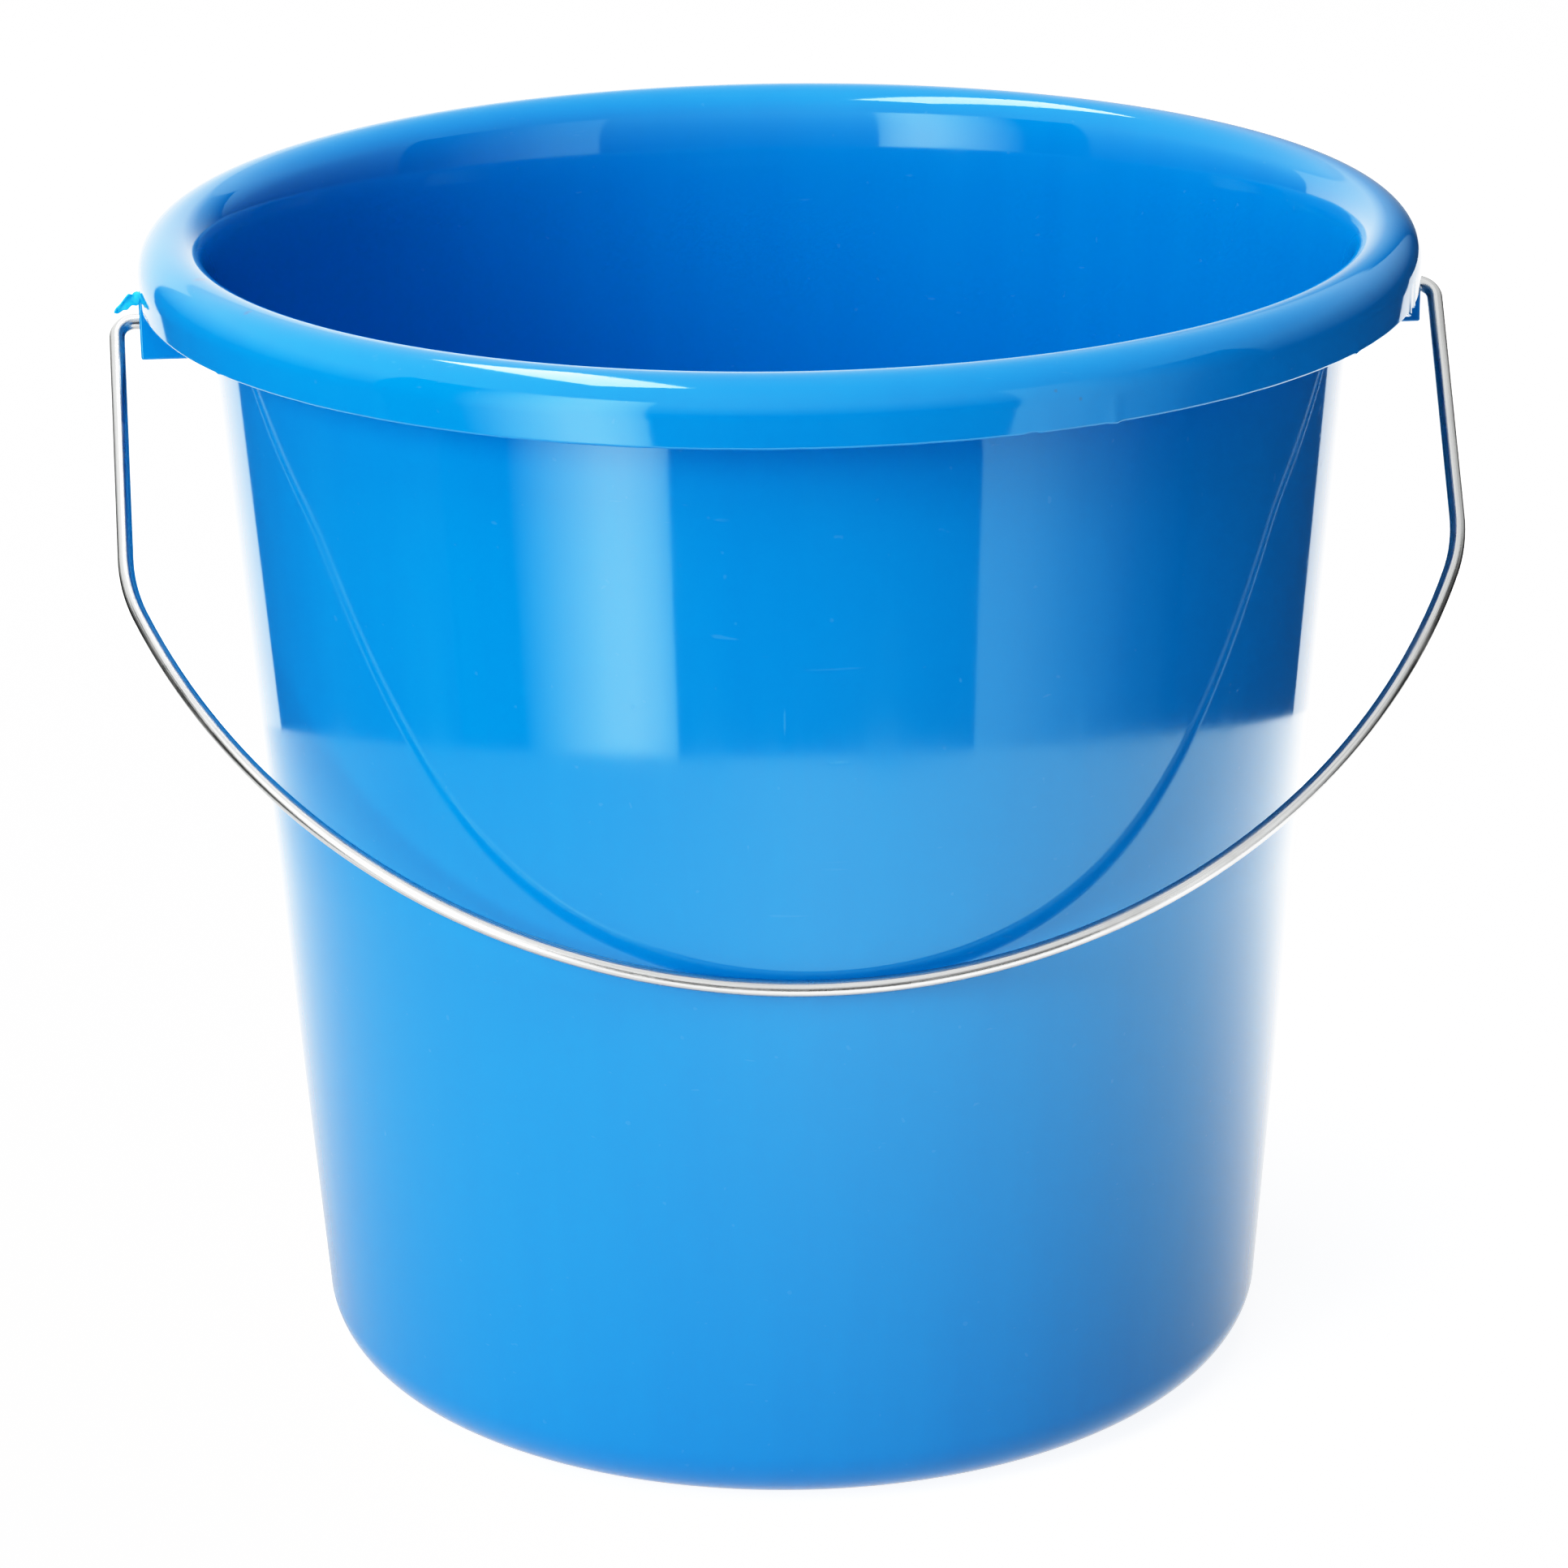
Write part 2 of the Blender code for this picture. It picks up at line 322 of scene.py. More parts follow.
# Nibs left on the skirt's edge by the mould's parting line: azimuth in degrees from +X, half-width
# in degrees, and how far each stands down and out, in metres.
SKIRT_NIBS = (
    (-20.6, 0.55, 1.1 * MM, 0.5 * MM),
    (-18.6, 0.35, 0.4 * MM, 0.5 * MM),
    (-35.4, 0.50, 0.3 * MM, 0.2 * MM),
    (-65.7, 0.40, 0.4 * MM, 0.5 * MM),
    (-73.2, 0.45, -0.4 * MM, -0.2 * MM),
    (-150.0, 0.40, 0.2 * MM, 0.1 * MM),
    (38.0, 0.50, 0.4 * MM, 0.2 * MM),
    (112.0, 0.60, -0.3 * MM, 0.1 * MM),
)
SKIRT_BAND = 1.5 * MM  # how far up from the edge the roughness reaches
SKIRT_DEPTH = 1.4 * WALL  # how far in from the edge
SKIRT_WAVE = 0.06 * MM


def roughen_skirt(made):
    """Moves the skirt's edge a little: nibs, and the slight waviness of a trimmed parting line."""
    for vertex in made.data.vertices:
        x, y, z = vertex.co
        r = math.hypot(x, y)
        if r < SKIRT_EDGE_R - SKIRT_DEPTH or z > SKIRT_EDGE_Z + SKIRT_BAND:
            continue
        near = 1.0 - (z - SKIRT_EDGE_Z) / SKIRT_BAND
        turn = math.degrees(math.atan2(y, x))
        drop = SKIRT_WAVE * noise.noise(Vector((x, y, 0.0)) * 220.0)
        out = 0.0
        for azimuth, half_width, down, outwards in SKIRT_NIBS:
            away = abs((turn - azimuth + 180) % 360 - 180) / half_width
            if away < 1.0:
                bump = (1.0 - away) ** 0.7
                drop += down * bump
                out += outwards * bump
        vertex.co.z -= near * drop
        vertex.co.x += near * out * x / r
        vertex.co.y += near * out * y / r


def make_bucket():
    """The moulding: wall, base, rim and both ears in one."""
    bucket = add_mesh("bucket_moulding", turned(bucket_profile(), BUCKET_SEGMENTS))
    roughen_skirt(bucket)
    for side in (-1, 1):
        combine(bucket, make_ear(side), "UNION")
    bucket.data.shade_smooth()
    bucket.data.set_sharp_from_angle(angle=math.radians(30))
    bucket.data.materials.clear()
    bucket.data.materials.append(plastic_material())
    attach(bucket, "bucket")
    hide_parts("bucket")


# ---------------------------------------------------------------- the bail

def bail_half():
    """The wire's centreline from the retaining tip to the middle of the arc, in the bail's own
    plane: X outwards, and Z up from the pivot's axis."""
    step = math.radians(3)
    slant = math.atan(LEG_LEAN)
    outwards = (math.cos(slant), math.sin(-slant))
    down = (-math.sin(slant), -math.cos(slant))

    def from_leg(distance, along):
        x = LEG_TOP_X - distance * outwards[0] + along * down[0]
        return (x, -distance * outwards[1] + along * down[1])

    hook = (HOOK_X + END_BEND_R, END_BEND_R)
    path = [(HOOK_X, HOOK_LENGTH), (HOOK_X, HOOK_LENGTH - 1.0 * MM)]
    path += arc(hook, END_BEND_R, math.pi, 1.5 * math.pi, 2 * step)
    lift = from_leg(END_BEND_R, 0.0)[1]
    end_bend = from_leg(END_BEND_R, (END_BEND_R + lift) / math.cos(slant))
    path += arc(end_bend, END_BEND_R, math.pi / 2, -slant, 2 * step)

    arc_centre = (0.0, BAIL_ARC_R - BAIL_REACH)
    start = from_leg(BAIL_SHOULDER_R, 0.0)
    offset = (start[0] - arc_centre[0], start[1] - arc_centre[1])
    inner = BAIL_ARC_R - BAIL_SHOULDER_R
    half = offset[0] * down[0] + offset[1] * down[1]
    along = -half + math.sqrt(half * half - offset[0] ** 2 - offset[1] ** 2 + inner * inner)
    shoulder = from_leg(BAIL_SHOULDER_R, along)
    turned_by = math.atan2(shoulder[1] - arc_centre[1], shoulder[0] - arc_centre[0])
    leg_end = arc(shoulder, BAIL_SHOULDER_R, -slant, turned_by, step)
    path += straight(path[-1], leg_end[0], 24)
    path += leg_end
    path += arc(arc_centre, BAIL_ARC_R, turned_by, -math.pi / 2, step / 2)[1:]
    return path


def hang_angle():
    """How far the bail hangs forward of straight down, so that its middle just clears the wall."""
    stand_off = (WIRE_D / 2 + WALL_GAP) / math.cos(TAPER_ANGLE)
    reach = (wall_radius(PIVOT_Z) + stand_off) * math.cos(TAPER_ANGLE)
    return math.asin(reach / BAIL_REACH) - TAPER_ANGLE


def make_bail():
    """The wire as a tube, with UVs that run along it in metres and round it in turns."""
    half = bail_half()
    path = [Vector((x, 0.0, z)) for x, z in half + [(-x, z) for x, z in reversed(half[:-1])]]
    shape = bmesh.new()
    layer = shape.loops.layers.uv.new("along")
    rings = []
    travel = []
    run = 0.0
    for i, point in enumerate(path):
        before = path[max(i - 1, 0)]
        after = path[min(i + 1, len(path) - 1)]
        tangent = (after - before).normalized()
        across = Vector((0.0, 1.0, 0.0)).cross(tangent)
        if i:
            run += (point - path[i - 1]).length
        travel.append(run)
        ring = []
        for k in range(WIRE_SIDES):
            angle = 2 * math.pi * k / WIRE_SIDES
            away = across * math.cos(angle) + Vector((0.0, 1.0, 0.0)) * math.sin(angle)
            ring.append(shape.verts.new(point + away * WIRE_D / 2))
        rings.append(ring)
    for i in range(len(rings) - 1):
        for k in range(WIRE_SIDES):
            j = (k + 1) % WIRE_SIDES
            face = shape.faces.new((rings[i][k], rings[i][j], rings[i + 1][j], rings[i + 1][k]))
            turns = (k / WIRE_SIDES, (k + 1) / WIRE_SIDES, (k + 1) / WIRE_SIDES, k / WIRE_SIDES)
            spots = (travel[i], travel[i], travel[i + 1], travel[i + 1])
            for loop, turn, spot in zip(face.loops, turns, spots):
                loop[layer].uv = (spot, turn)
    for ring in (rings[0], rings[-1]):
        shape.faces.new(ring)
    bmesh.ops.recalc_face_normals(shape, faces=shape.faces)
    hung = Matrix.Translation((0.0, 0.0, PIVOT_Z)) @ Matrix.Rotation(-hang_angle(), 4, "X")
    bmesh.ops.transform(shape, matrix=hung, verts=shape.verts)
    bail = add_mesh("bail_wire", shape)
    ends = bail.modifiers.new("sheared_ends", "BEVEL")
    ends.width = 0.25 * MM
    ends.segments = 2
    ends.limit_method = "ANGLE"
    ends.angle_limit = math.radians(60)
    apply_modifiers(bail)
    bail.data.shade_smooth()
    bail.data.set_sharp_from_angle(angle=math.radians(40))
    bail.data.materials.clear()
    bail.data.materials.append(wire_material())
    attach(bail, "bail")
    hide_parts("bail")


# ---------------------------------------------------------------- the scrap of flash

# Outline of the torn scrap in millimetres: out from the skirt (+) or back over it (-), and up from
# FLASH_TOP_Z.
FLASH_OUTLINE = (
    (5.6, -2.7), (5.2, -1.7), (4.0, -0.6), (3.0, 0.6), (2.3, 1.3), (1.4, 1.0), (0.6, 1.1),
    (0.0, 1.5), (-0.4, 0.8), (-1.1, 0.0), (-1.7, -1.3), (-1.5, -2.6), (-0.7, -1.9),
    (-0.1, -1.3), (0.6, -1.8), (1.6, -1.5), (2.5, -2.4), (3.5, -2.4), (4.7, -3.1),
)
FLASH_TOP_Z = 251.6 * MM
FLASH_Y = -9.0 * MM
FLASH_SLANT = 0.35  # how far it leans to the front for each unit outwards
FLASH_INSET = 0.4 * MM
FLASH_CRUMPLE = 0.8 * MM
FLASH_THICKNESS = 0.45 * MM


def make_flash():
    """A thin torn scrap of plastic left where the mould closed, above the left ear."""
    shape = bmesh.new()
    corners = []
    for out, up in FLASH_OUTLINE:
        x = -(RIM_R - FLASH_INSET + out * MM)
        y = FLASH_Y - FLASH_SLANT * out * MM
        corners.append(shape.verts.new((x, y, FLASH_TOP_Z + up * MM)))
    face = shape.faces.new(corners)
    bmesh.ops.triangulate(shape, faces=[face])
    bmesh.ops.subdivide_edges(shape, edges=shape.edges[:], cuts=2, use_grid_fill=True)
    for vertex in shape.verts:
        vertex.co.y += FLASH_CRUMPLE * noise.noise(vertex.co * 420.0)
    flash = add_mesh("moulding_flash", shape)
    thick = flash.modifiers.new("thickness", "SOLIDIFY")
    thick.thickness = FLASH_THICKNESS
    smooth = flash.modifiers.new("smooth", "SUBSURF")
    smooth.levels = 2
    smooth.render_levels = 2
    apply_modifiers(flash)
    flash.data.shade_smooth()
    flash.data.materials.append(flash_material())
    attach(flash, "bucket")


# ---------------------------------------------------------------- materials

PLASTIC_DEEP = (0.0, 0.221, 0.60, 1.0)
PLASTIC_PALE = (0.0, 0.238, 0.63, 1.0)
PLASTIC_IOR = 1.5
REFLECTION_TINT = (0.75, 1.0, 1.0, 1.0)
SCRATCHED = (0.35, 0.55, 0.8, 1.0)
MARK_GREY = (0.06, 0.12, 0.20, 1.0)
# The pale tone serves pale marks, and also two painted highlights on the rim's crest.
PALE_MARK_AND_HIGHLIGHT = (0.10, 0.40, 0.72, 1.0)
FLASH_DEEP = (0.0, 0.36, 0.72, 1.0)
FLASH_PALE = (0.03, 0.6, 0.9, 1.0)
STEEL_DARK = (0.44, 0.45, 0.45, 1.0)
STEEL_BRIGHT = (0.66, 0.66, 0.65, 1.0)
STEEL_STAINED = (0.30, 0.29, 0.27, 1.0)


class Nodes:
    """Short ways to add and link a material's nodes."""

    def __init__(self, name):
        self.material = bpy.data.materials.new(name)
        self.material.use_nodes = True
        self.tree = self.material.node_tree
        self.shader = self.tree.nodes["Principled BSDF"]

    def add(self, kind, inputs=None, **settings):
        node = self.tree.nodes.new(kind)
        for key, value in settings.items():
            setattr(node, key, value)
        for key, value in (inputs or {}).items():
            if isinstance(value, bpy.types.NodeSocket):
                self.tree.links.new(value, node.inputs[key])
            else:
                node.inputs[key].default_value = value
        return node

    def link(self, source, target):
        self.tree.links.new(source, target)

    def coordinates(self, output="Object"):
        return self.add("ShaderNodeTexCoord").outputs[output]

    def noise(self, vector, scale, detail=3.0, roughness=0.5):
        made = self.add(
            "ShaderNodeTexNoise",
            {"Vector": vector, "Scale": scale, "Detail": detail, "Roughness": roughness},
        )
        return made.outputs["Fac"]

    def spread(self, value, from_low, from_high, to_low=0.0, to_high=1.0):
        """A value mapped from one range to another, and clamped to it."""
        ranges = {"From Min": from_low, "From Max": from_high, "To Min": to_low, "To Max": to_high}
        return self.add("ShaderNodeMapRange", {"Value": value, **ranges}).outputs["Result"]

    def maths(self, operation, first, second=0.0):
        return self.add("ShaderNodeMath", {0: first, 1: second}, operation=operation).outputs[0]

    def mix(self, share, first, second):
        made = self.add("ShaderNodeMix", data_type="RGBA")
        for socket, value in ((0, share), (6, first), (7, second)):
            if isinstance(value, bpy.types.NodeSocket):
                self.link(value, made.inputs[socket])
            else:
                made.inputs[socket].default_value = value
        return made.outputs[2]

    def stretched(self, vector, scale, turn=(0.0, 0.0, 0.0)):
        made = self.add("ShaderNodeMapping", {"Vector": vector, "Scale": scale, "Rotation": turn})
        return made.outputs["Vector"]

    def bump(self, height, distance, strength=1.0, normal=None):
        inputs = {"Height": height, "Distance": distance, "Strength": strength}
        if normal is not None:
            inputs["Normal"] = normal
        return self.add("ShaderNodeBump", inputs).outputs["Normal"]


def scratches(nodes, position, turns, scale):
    """A mask of a few short hairline scratches, in several directions."""
    found = None
    for turn in turns:
        squeezed = nodes.stretched(position, (scale, scale * 30, scale * 30), turn)
        lines = nodes.spread(nodes.noise(squeezed, 1.0, 2.0, 0.4), 0.73, 0.77)
        patches = nodes.spread(nodes.noise(position, 31.0 + 7.0 * turn[2], 1.0), 0.60, 0.66)
        mask = nodes.maths("MULTIPLY", lines, patches)
        found = mask if found is None else nodes.maths("MAXIMUM", found, mask)
    return found


# How strongly wear shows, of 1: in the hairlines and specks, and in the spots below, the painted
# highlights among them.
FINE_WEAR = 0.5
SPOT_WEAR = 0.3

# Small marks on the plastic, and two painted highlights on the rim's crest: azimuth in degrees from
# +X, then in millimetres the height, the radius there, the half-length round the bucket and the
# half-height, and whether it is pale (or grey).
MARKS_AND_HIGHLIGHTS = (
    (-163.0, 263.6, 131.5, 1.3, 0.5, False),
    (-160.5, 264.2, 133.2, 1.6, 0.4, False),
    (-157.0, 263.9, 131.9, 1.1, 0.5, False),
    (-153.0, 263.7, 131.2, 1.5, 0.3, False),
    (-148.0, 263.8, 135.6, 0.9, 0.4, False),
    (-71.2, 258.8, 140.4, 0.5, 0.4, False),
    (-69.0, 256.6, 140.9, 0.4, 0.5, False),
    (-26.8, 126.0, 116.8, 0.4, 1.0, False),
    (-98.5, 209.0, 123.0, 0.4, 0.4, True),
    (-88.7, 178.0, 120.7, 2.4, 0.4, True),
    (-94.0, 187.5, 121.4, 0.3, 3.2, True),
    # The last two are painted highlights on the rim's crest, not marks.
    (-128.0, 262.3, 137.0, 0.8, 0.3, True),
    (-125.0, 262.3, 137.0, 0.5, 0.3, True),
)

# The depth below serves both the marks and the painted highlights.
SPOT_DEPTH = 2.0  # half of a mark's depth in millimetres, enough to take in the curved surface


def mark_and_highlight_spot(nodes, position, azimuth, height, radius, half_length, half_height):
    """A mask of one ragged spot on the surface, for a mark and for a painted highlight alike."""
    angle = math.radians(azimuth)
    place = (radius * MM * math.cos(angle), radius * MM * math.sin(angle), height * MM)
    away = nodes.add(
        "ShaderNodeVectorMath", {0: position, 1: place}, operation="SUBTRACT"
    ).outputs["Vector"]
    scale = tuple(1 / (size * MM) for size in (SPOT_DEPTH, half_length, half_height))
    turned_away = nodes.add(
        "ShaderNodeVectorRotate", {"Vector": away, "Angle": -angle}, rotation_type="Z_AXIS"
    ).outputs["Vector"]
    squeezed = nodes.stretched(turned_away, scale)
    distance = nodes.add("ShaderNodeVectorMath", {0: squeezed}, operation="LENGTH").outputs["Value"]
    ragged = nodes.maths("MULTIPLY", nodes.noise(position, 1400.0, 3.0), 1.1)
    return nodes.spread(nodes.maths("ADD", distance, ragged), 1.0, 1.6, 1.0, 0.0)


def plastic_material():
    """Glossy blue plastic with faint flow streaks, light scratches, a few marks and two painted
    highlights on the rim's crest.
    """
    nodes = Nodes("blue_polypropylene")
    position = nodes.coordinates()
    flow = nodes.noise(nodes.stretched(position, (1.0, 1.0, 0.35)), 9.0, 2.0)
    streaks = nodes.noise(nodes.stretched(position, (1.0, 1.0, 0.04)), 85.0, 3.0, 0.6)
    flow_share = nodes.maths("MULTIPLY", flow, 0.6)
    cloud = nodes.maths("ADD", flow_share, nodes.maths("MULTIPLY", streaks, 0.4))
    colour = nodes.mix(nodes.spread(cloud, 0.36, 0.64), PLASTIC_DEEP, PLASTIC_PALE)
    turns = ((0.3, 0.2, 0.4), (0.1, 1.1, 1.3), (0.9, 0.3, 2.3))
    hairlines = scratches(nodes, position, turns, 24.0)
    specks = nodes.spread(nodes.noise(position, 420.0, 1.0), 0.76, 0.8)
    wear = nodes.maths("MAXIMUM", hairlines, specks)
    wear = nodes.maths("MULTIPLY", wear, FINE_WEAR)
    colour = nodes.mix(nodes.maths("MULTIPLY", wear, 0.1), colour, SCRATCHED)
    # Each spot mixes in its tone: grey and pale marks, and the last two, painted highlights on the
    # crest.
    for azimuth, height, radius, half_length, half_height, pale in MARKS_AND_HIGHLIGHTS:
        spot = mark_and_highlight_spot(nodes, position, azimuth, height, radius, half_length, half_height)
        tone = PALE_MARK_AND_HIGHLIGHT if pale else MARK_GREY
        share = 0.2 if pale else 0.45
        colour = nodes.mix(nodes.maths("MULTIPLY", spot, share), colour, tone)
        wear = nodes.maths("MAXIMUM", wear, nodes.maths("MULTIPLY", spot, SPOT_WEAR))
    nodes.link(colour, nodes.shader.inputs["Base Color"])

    haze = nodes.spread(nodes.noise(position, 60.0, 3.0), 0.3, 0.7, 0.045, 0.07)
    haze = nodes.maths("ADD", haze, nodes.spread(streaks, 0.45, 0.7, 0.0, 0.03))
    rough = nodes.maths("ADD", haze, nodes.maths("MULTIPLY", wear, 0.2))
    nodes.link(rough, nodes.shader.inputs["Roughness"])

    peel = nodes.noise(position, 190.0, 2.0)
    ripple = nodes.noise(position, 22.0, 1.0)
    normal = nodes.bump(ripple, 0.00002, 1.0)
    normal = nodes.bump(peel, 0.0000025, 1.0, normal)
    normal = nodes.bump(nodes.maths("SUBTRACT", 1.0, wear), 0.000006, 1.0, normal)
    nodes.link(normal, nodes.shader.inputs["Normal"])
    nodes.shader.inputs["IOR"].default_value = PLASTIC_IOR
    nodes.shader.inputs["Specular Tint"].default_value = REFLECTION_TINT
    return nodes.material


def flash_material():
    """The same plastic where it is thin and torn: paler and rougher."""
    nodes = Nodes("torn_flash")
    position = nodes.coordinates()
    cloud = nodes.noise(position, 700.0, 3.0)
    colour = nodes.mix(nodes.spread(cloud, 0.3, 0.7), FLASH_DEEP, FLASH_PALE)
    nodes.link(colour, nodes.shader.inputs["Base Color"])
    nodes.link(nodes.spread(cloud, 0.3, 0.7, 0.25, 0.45), nodes.shader.inputs["Roughness"])
    nodes.link(nodes.bump(nodes.noise(position, 1500.0), 0.0001), nodes.shader.inputs["Normal"])
    return nodes.material


def wire_material():
    """Drawn steel wire: fine lines along it, and a little dull staining."""
    nodes = Nodes("drawn_steel")
    along = nodes.coordinates("UV")
    position = nodes.coordinates()
    lines = nodes.noise(nodes.stretched(along, (18.0, 46.0, 1.0)), 1.0, 4.0, 0.6)
    stain = nodes.noise(position, 55.0, 4.0, 0.6)
    bright = nodes.mix(nodes.spread(lines, 0.3, 0.7), STEEL_DARK, STEEL_BRIGHT)
    dull = nodes.mix(nodes.spread(stain, 0.6, 0.85, 0.0, 0.3), bright, STEEL_STAINED)
    nodes.link(dull, nodes.shader.inputs["Base Color"])
    nodes.shader.inputs["Metallic"].default_value = 1.0
    base = nodes.spread(lines, 0.3, 0.75, 0.18, 0.34)
    rough = nodes.maths("ADD", base, nodes.spread(stain, 0.5, 0.8, 0.0, 0.2))
    nodes.link(rough, nodes.shader.inputs["Roughness"])
    normal = nodes.bump(lines, 0.00004, 0.6)
    normal = nodes.bump(nodes.noise(position, 900.0, 3.0), 0.000012, 0.6, normal)
    nodes.link(normal, nodes.shader.inputs["Normal"])
    return nodes.material


# ---------------------------------------------------------------- the studio

FLOOR_SIZE = 15.0  # from the middle to each side
FLOOR_LIFT = 0.97  # a glow that only the camera sees, so that the floor looks near white
TABLE_R = 0.461  # how far the pale table top reaches in reflections
TABLE_GLOW = 2.7
WORLD_LIGHT = 0.22
WORLD_DARK = 0.07  # what reflections see of the world, up to the horizon
WORLD_ABOVE = 1.8  # and from about 27 degrees above it
WORLD_RIGHT = 0.6  # on the right, as a share of the left

# Scene brightness against picture brightness.
TONE = (
    (0.0, 0.0), (0.05, 0.03), (0.12, 0.09), (0.25, 0.24), (0.42, 0.44),
    (0.65, 0.68), (0.9, 0.86), (1.2, 0.97), (1.6, 1.0),
)

# Glowing panels that only reflections see: name, azimuths in degrees (0 in front, + to the right),
# heights, brightness, and its falloff as (place, share) pairs from the first azimuth to the second.
PANEL_R = 1.8
PANELS = (
    (
        "panel_front_left", (-75.0, -26.0), (-1.2, 1.35), 6.2,
        ((0.0, 0.0), (0.32, 0.0), (0.52, 0.5), (0.72, 0.95), (0.82, 1.0), (0.93, 0.8), (1.0, 0.5)),
    ),
    (
        "panel_front_right", (35.5, 85.0), (-1.2, 1.35), 1.9,
        ((0.0, 1.0), (0.2, 0.85), (0.45, 0.42), (0.75, 0.08), (1.0, 0.0)),
    ),
    (
        "backdrop_low", (138.5, 216.5), (-1.2, 0.02), 1.9,
        ((0.0, 1.0), (1.0, 1.0)),
    ),
    (
        "backdrop_high", (150.0, 217.0), (0.02, 1.0), 1.9,
        ((0.0, 0.0), (0.24, 0.35), (0.4, 0.85), (1.0, 1.0)),
    ),
)

# Soft lights that reflections don't see: name, place, aim, width and height, and watts.
LIGHTS = (
    ("key_left", (-1.25, -1.30, 0.85), (0.0, 0.0, 0.12), (0.9, 1.0), 27.0),
    ("fill_right", (1.4, -1.1, 0.6), (0.0, 0.0, 0.12), (0.7, 1.0), 1.0),
    ("top_front", (-0.2, -1.1, 1.7), (0.0, 0.0, 0.15), (0.7, 0.7), 9.5),
    ("overhead", (0.0, 0.1, 1.9), (0.0, 0.0, 0.0), (0.5, 0.5), 4.0),
)

STRIP_HEIGHT = 1.1  # above the rim
STRIP_PLACE = (-0.315, 0.17)  # in X and Y, as shares of that height
STRIP_SIZE = (0.23, 0.88)  # likewise
STRIP_POWER = 10.5


def glow_material(name, brightness, falloff):
    """A glow that falls off along the UV's U, from (place, share) pairs, as a soft box's does."""
    nodes = Nodes(name)
    across = nodes.add("ShaderNodeSeparateXYZ", {"Vector": nodes.coordinates("UV")}).outputs["X"]
    ramp = nodes.add("ShaderNodeValToRGB", {"Fac": across})
    stops = ramp.color_ramp.elements
    while len(stops) < len(falloff):
        stops.new(0.5)
    for stop, (place, share) in zip(stops, falloff):
        stop.position = place
        stop.color = (share, share, share, 1.0)
    level = nodes.maths("MULTIPLY", ramp.outputs["Color"], brightness)
    glow = nodes.add("ShaderNodeEmission", {"Strength": level})
    nodes.link(glow.outputs[0], nodes.tree.nodes["Material Output"].inputs["Surface"])
    return nodes.material


def table_material():
    """A glow standing in for the lit table, as the wall's reflections see it: painted shade near the
    bucket, and dimmer on the left.
    """
    nodes = Nodes("glowing_table_stand_in")
    position = nodes.coordinates()
    away = nodes.add("ShaderNodeVectorMath", {0: position}, operation="LENGTH").outputs["Value"]
    across = nodes.add("ShaderNodeSeparateXYZ", {"Vector": position}).outputs["X"]
    # Painted shade near the bucket's foot, and painted light that is darker towards the left.
    outwards = nodes.spread(away, 0.12, 0.34, 0.35, 1.0)
    rightwards = nodes.spread(across, -0.42, 0.0, 0.35, 1.0)
    level = nodes.maths("MULTIPLY", nodes.maths("MULTIPLY", outwards, rightwards), TABLE_GLOW)
    glow = nodes.add("ShaderNodeEmission", {"Strength": level})
    nodes.link(glow.outputs[0], nodes.tree.nodes["Material Output"].inputs["Surface"])
    return nodes.material


def floor_material():
    """A pale floor, near white to the camera, with only a soft shadow at the bucket's foot."""
    nodes = Nodes("pale_floor")
    nodes.shader.inputs["Base Color"].default_value = (0.9, 0.9, 0.9, 1.0)
    nodes.shader.inputs["Roughness"].default_value = 0.9
    nodes.shader.inputs["Specular IOR Level"].default_value = 0.0
    seen = nodes.add("ShaderNodeLightPath").outputs["Is Camera Ray"]
    lift = nodes.add("ShaderNodeEmission", {"Strength": nodes.maths("MULTIPLY", seen, FLOOR_LIFT)})
    both = nodes.add("ShaderNodeAddShader")
    nodes.link(nodes.shader.outputs[0], both.inputs[0])
    nodes.link(lift.outputs[0], both.inputs[1])
    nodes.link(both.outputs[0], nodes.tree.nodes["Material Output"].inputs["Surface"])
    return nodes.material


def seen_only_in_reflections(made):
    """Hides an object from every ray except glossy ones."""
    made.visible_camera = False
    made.visible_diffuse = False
    made.visible_shadow = False
    made.visible_transmission = False
    made.visible_volume_scatter = False


def add_floor():
    """The floor that the camera sees, and the table top that reflections see in its place."""
    shape = bmesh.new()
    bmesh.ops.create_grid(shape, x_segments=1, y_segments=1, size=FLOOR_SIZE)
    floor = add_mesh("floor", shape)
    floor.location.z = -0.4 * MM
    floor.data.materials.append(floor_material())
    floor.visible_glossy = False

    shape = bmesh.new()
    bmesh.ops.create_circle(shape, cap_ends=True, segments=180, radius=TABLE_R)
    table = add_mesh("table_top", shape)
    table.location.z = -0.2 * MM
    table.data.materials.append(table_material())
    seen_only_in_reflections(table)


def add_panel(name, azimuths, heights, brightness, falloff):
    """A glowing upright panel, curved round the bucket, whose UVs run across it and up."""
    shape = bmesh.new()
    layer = shape.loops.layers.uv.new("across")
    columns = []
    steps = 24
    for i in range(steps + 1):
        angle = math.radians(azimuths[0] + (azimuths[1] - azimuths[0]) * i / steps)
        x, y = PANEL_R * math.sin(angle), -PANEL_R * math.cos(angle)
        columns.append([shape.verts.new((x, y, z)) for z in heights])
    for i, (left, right) in enumerate(zip(columns, columns[1:])):
        face = shape.faces.new((left[0], right[0], right[1], left[1]))
        spots = ((i, 0), (i + 1, 0), (i + 1, 1), (i, 1))
        for loop, (along, up) in zip(face.loops, spots):
            loop[layer].uv = (along / steps, up)
    panel = add_mesh(name, shape)
    panel.data.materials.append(glow_material(name, brightness, falloff))
    seen_only_in_reflections(panel)


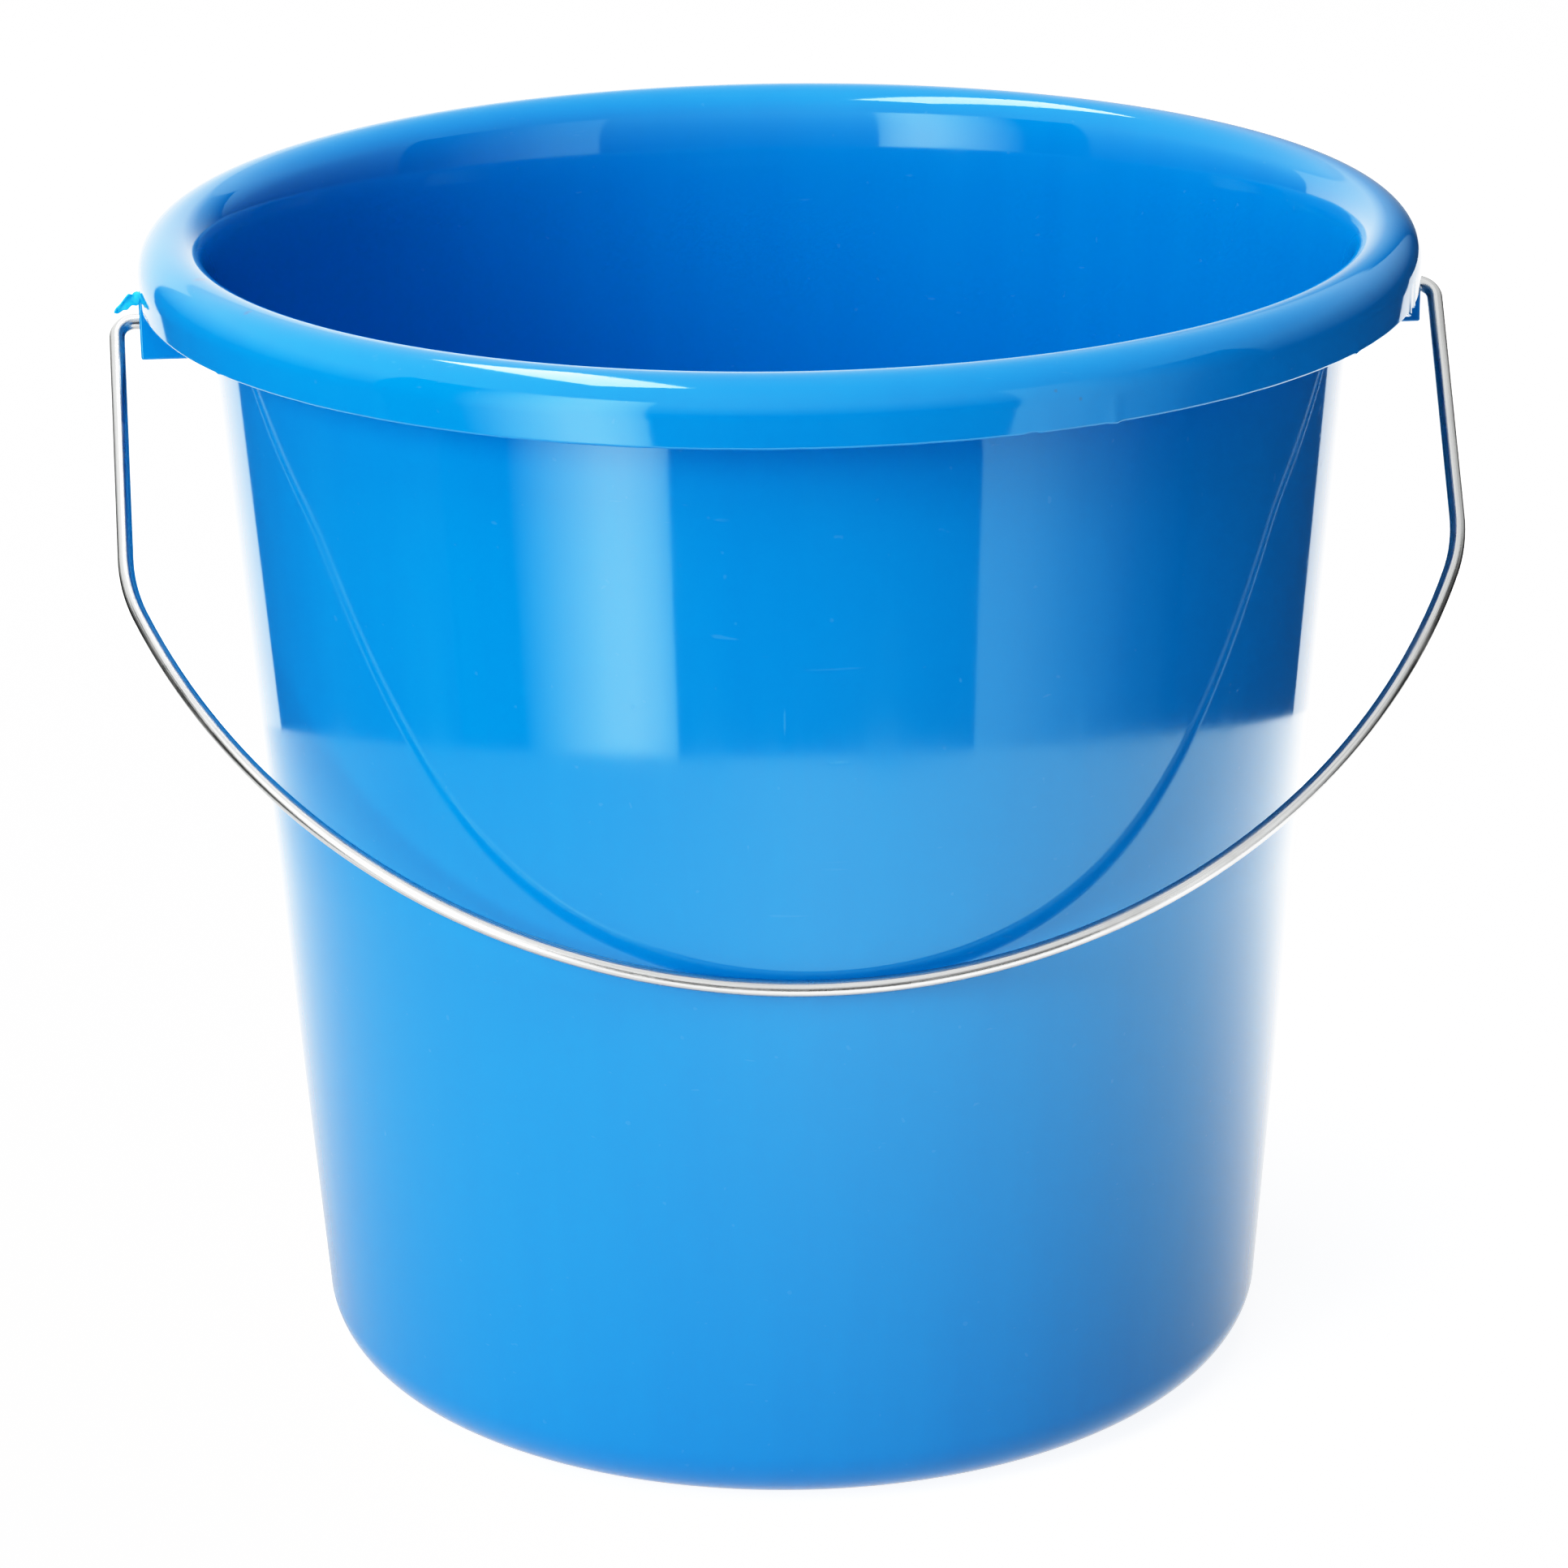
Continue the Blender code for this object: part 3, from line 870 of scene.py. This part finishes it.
def add_light(name, place, aim, size, power, reflected=False):
    """A rectangular light, which reflections see only if told to."""
    data = bpy.data.lights.new(name, "AREA")
    data.shape = "RECTANGLE"
    data.size, data.size_y = size
    data.energy = power
    light = bpy.data.objects.new(name, data)
    bpy.context.scene.collection.objects.link(light)
    light.location = place
    light.rotation_euler = (Vector(aim) - Vector(place)).to_track_quat("-Z", "Y").to_euler()
    light.visible_glossy = reflected


def add_strip():
    """The strip light overhead on the left, which streaks the rim."""
    x, y = (share * STRIP_HEIGHT for share in STRIP_PLACE)
    size = tuple(share * STRIP_HEIGHT for share in STRIP_SIZE)
    place = (x, y, RIM_TOP + STRIP_HEIGHT)
    add_light("strip", place, (x, y, 0.0), size, STRIP_POWER, reflected=True)


def add_world():
    """A pale dome that lights the scene. Reflections see it dark low down, bright above, and dimmer
    on the right."""
    world = bpy.data.worlds.new("studio")
    bpy.context.scene.world = world
    world.use_nodes = True
    tree = world.node_tree
    tree.nodes.clear()

    def add(kind, **settings):
        node = tree.nodes.new(kind)
        for key, value in settings.items():
            setattr(node, key, value)
        return node

    split = add("ShaderNodeSeparateXYZ")
    tree.links.new(add("ShaderNodeTexCoord").outputs["Generated"], split.inputs[0])
    both = add("ShaderNodeMath", operation="MULTIPLY")
    # For each axis of the direction: from and to which share of it, and the brightness at each.
    ranges = (("Z", (0.02, 0.45, WORLD_DARK, WORLD_ABOVE)), ("X", (-0.2, 0.8, 1.0, WORLD_RIGHT)))
    for slot, (axis, values) in enumerate(ranges):
        level = add("ShaderNodeMapRange")
        for key, value in zip(("From Min", "From Max", "To Min", "To Max"), values):
            level.inputs[key].default_value = value
        tree.links.new(split.outputs[axis], level.inputs["Value"])
        tree.links.new(level.outputs["Result"], both.inputs[slot])
    seen = add("ShaderNodeBackground")
    tree.links.new(both.outputs[0], seen.inputs["Strength"])
    lit = add("ShaderNodeBackground")
    lit.inputs["Strength"].default_value = WORLD_LIGHT
    mixed = add("ShaderNodeMixShader")
    tree.links.new(add("ShaderNodeLightPath").outputs["Is Glossy Ray"], mixed.inputs["Fac"])
    tree.links.new(lit.outputs[0], mixed.inputs[1])
    tree.links.new(seen.outputs[0], mixed.inputs[2])
    tree.links.new(mixed.outputs[0], add("ShaderNodeOutputWorld").inputs["Surface"])


def set_tone():
    """A print's tones: slightly deeper darks, and brights that roll off before they reach white."""
    view = bpy.context.scene.view_settings
    view.view_transform = "Standard"
    view.use_curve_mapping = True
    mapping = view.curve_mapping
    mapping.clip_max_x = TONE[-1][0]
    curve = mapping.curves[3]  # the one for all channels together
    curve.points[0].location = TONE[0]
    curve.points[1].location = TONE[-1]
    for place in TONE[1:-1]:
        curve.points.new(*place)
    mapping.update()


def add_studio():
    """Everything round the bucket."""
    add_floor()
    add_world()
    for panel in PANELS:
        add_panel(*panel)
    for light in LIGHTS:
        add_light(*light)
    add_strip()
    set_tone()


add_camera()
add_studio()
make_bucket()
make_bail()
make_flash()
